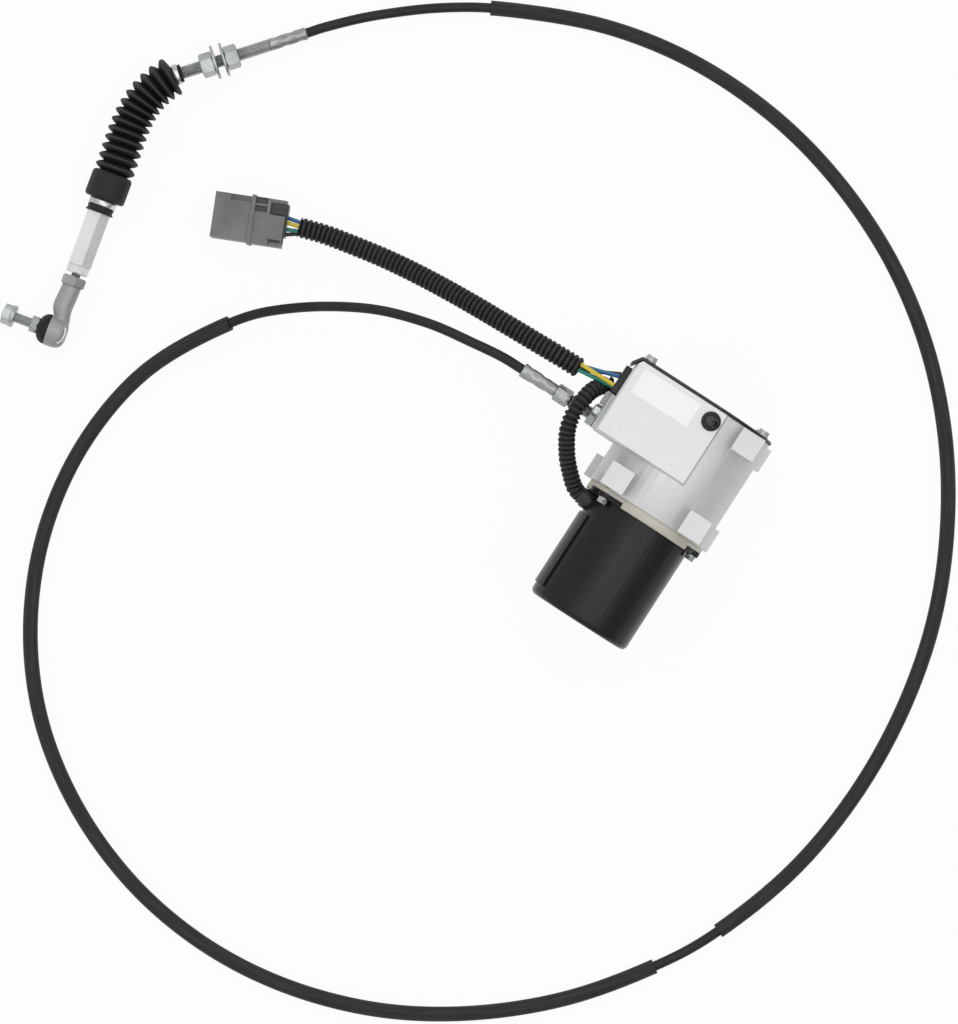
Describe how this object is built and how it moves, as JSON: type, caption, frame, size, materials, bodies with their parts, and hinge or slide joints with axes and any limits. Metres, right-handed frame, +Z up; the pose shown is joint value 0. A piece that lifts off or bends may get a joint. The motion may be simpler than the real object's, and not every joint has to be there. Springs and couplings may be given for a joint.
{
  "type": "engine governor actuator",
  "caption": "Engine governor actuator: a geared DC motor in a cast aluminium housing that works a sleeved push-pull throttle cable with a bellows boot and ball joint.",
  "frame": {"origin": "centre of the four bottom mounting pads, on their face", "axes": "+Y along the motor axis from the motor can to the cover, +Z up out of the mounting face, so the cable leaves towards -X"},
  "size_m": [0.6094, 0.6236, 0.0931],
  "materials": {
    "cast_aluminium": "matte cast",
    "machined_aluminium": "turned",
    "black_enamel": "satin",
    "beige_enamel": "satin",
    "zinc_steel": "bright zinc plate",
    "turned_steel": "turned",
    "grey_bracket": "satin",
    "laminated_steel": "laminated",
    "ferrite": "sintered",
    "copper": "copper wire and bars",
    "gear_brass": "hobbed",
    "bronze": "sintered",
    "contact_brass": "stamped",
    "brush_board": "pressed board",
    "carbon": "pressed carbon",
    "acetal": "moulded",
    "sensor_plastic": "moulded",
    "black_rubber": "matte",
    "sleeve_rubber": "satin",
    "conduit_jacket": "satin",
    "black_plastic": "moulded",
    "grey_plastic": "moulded",
    "wire_insulation": "extruded"
  },
  "bodies": {
    "actuator": {"gear_housing": "cast_aluminium", "bridge_plate": "machined_aluminium", "motor_can": "black_enamel", "top_cover": "black_enamel", "motor_end_plate": "beige_enamel", "cover_screws": "zinc_steel", "motor_bolts": "zinc_steel", "bridge_screws": "zinc_steel", "bracket_bolt": "zinc_steel", "fitting_lock_nut": "zinc_steel", "hub_nuts": "zinc_steel", "hub_washers": "zinc_steel", "motor_bearings": "turned_steel", "gear_pin": "turned_steel", "core_wire_far": "turned_steel", "cable_fitting": "turned_steel", "cable_hub": "turned_steel", "hub_band": "turned_steel", "cable_bracket": "grey_bracket", "field_magnets": "ferrite", "output_bush": "bronze", "connector_pins": "contact_brass", "brush_plate": "brush_board", "brushes": "carbon", "rack_guide": "acetal", "potentiometer": "sensor_plastic", "cover_gasket": "black_rubber", "wire_grommet": "black_rubber", "motor_lead_gland": "black_rubber", "bellows_boot": "black_rubber", "sleeve_1": "sleeve_rubber", "sleeve_2": "sleeve_rubber", "conduit_near": "conduit_jacket", "conduit_middle": "conduit_jacket", "conduit_far": "conduit_jacket", "vent_plug": "black_plastic", "harness_tube": "black_plastic", "motor_lead_tube": "black_plastic", "connector_retainer": "black_plastic", "connector_shell": "grey_plastic", "near_wires": "wire_insulation", "far_wires": "wire_insulation"},
    "armature": {"motor_shaft": "turned_steel", "armature_core": "laminated_steel", "armature_windings": "copper", "commutator": "copper", "motor_pinion": "gear_brass"},
    "lay_gear": {"double_gear": "gear_brass"},
    "output": {"output_shaft": "turned_steel", "output_gear": "gear_brass", "rack_pinion": "turned_steel"},
    "rack": {"cable_rack": "turned_steel", "core_wire_near": "turned_steel"},
    "push_rod": {"hex_coupling": "zinc_steel", "jam_nut": "zinc_steel", "ball_socket": "turned_steel", "cuff_band": "turned_steel"},
    "stud_swivel": {"dust_boot": "black_rubber"},
    "stud": {"ball_stud": "turned_steel", "flange_nut": "zinc_steel"}
  },
  "joints": [
    {"name": "armature_spin", "type": "hinge", "parent": "actuator", "child": "armature", "pos_m": [0, 0, 0.044], "axis": [0, 1, 0], "range_deg": [-540, 540]},
    {"name": "lay_gear_spin", "type": "hinge", "parent": "actuator", "child": "lay_gear", "pos_m": [-0.0075, 0, 0.02633], "axis": [0, 1, 0], "range_deg": [-181, 181]},
    {"name": "output_turn", "type": "hinge", "parent": "actuator", "child": "output", "pos_m": [-0.015, 0, 0.044], "axis": [0, 1, 0], "range_deg": [-61, 61]},
    {"name": "rack_slide", "type": "slide", "parent": "actuator", "child": "rack", "axis": [1, 0, 0], "range_m": [-0.0158, 0.0158]},
    {"name": "push_rod_slide", "type": "slide", "parent": "actuator", "child": "push_rod", "axis": [0.2164, -0.9763, 0], "range_m": [-0.0158, 0.0158], "deforming": ["bellows_boot", "core_wire_far"]},
    {"name": "stud_swing", "type": "hinge", "parent": "push_rod", "child": "stud_swivel", "pos_m": [-0.36073, -0.13787, 0.0125], "axis": [0.2164, -0.9763, 0], "range_deg": [-15, 15], "deforming": ["dust_boot"]},
    {"name": "stud_spin", "type": "hinge", "parent": "stud_swivel", "child": "stud", "pos_m": [-0.36073, -0.13787, 0.0125], "axis": [-0.9763, -0.2164, 0], "continuous": true}
  ],
  "couplings": [
    {"joint": "lay_gear_spin", "follows": "armature_spin", "ratio": -0.33333},
    {"joint": "output_turn", "follows": "armature_spin", "ratio": 0.11111},
    {"joint": "rack_slide", "follows": "armature_spin", "m_per_rad": 0.0016667},
    {"joint": "push_rod_slide", "follows": "armature_spin", "m_per_rad": -0.0016667}
  ]
}
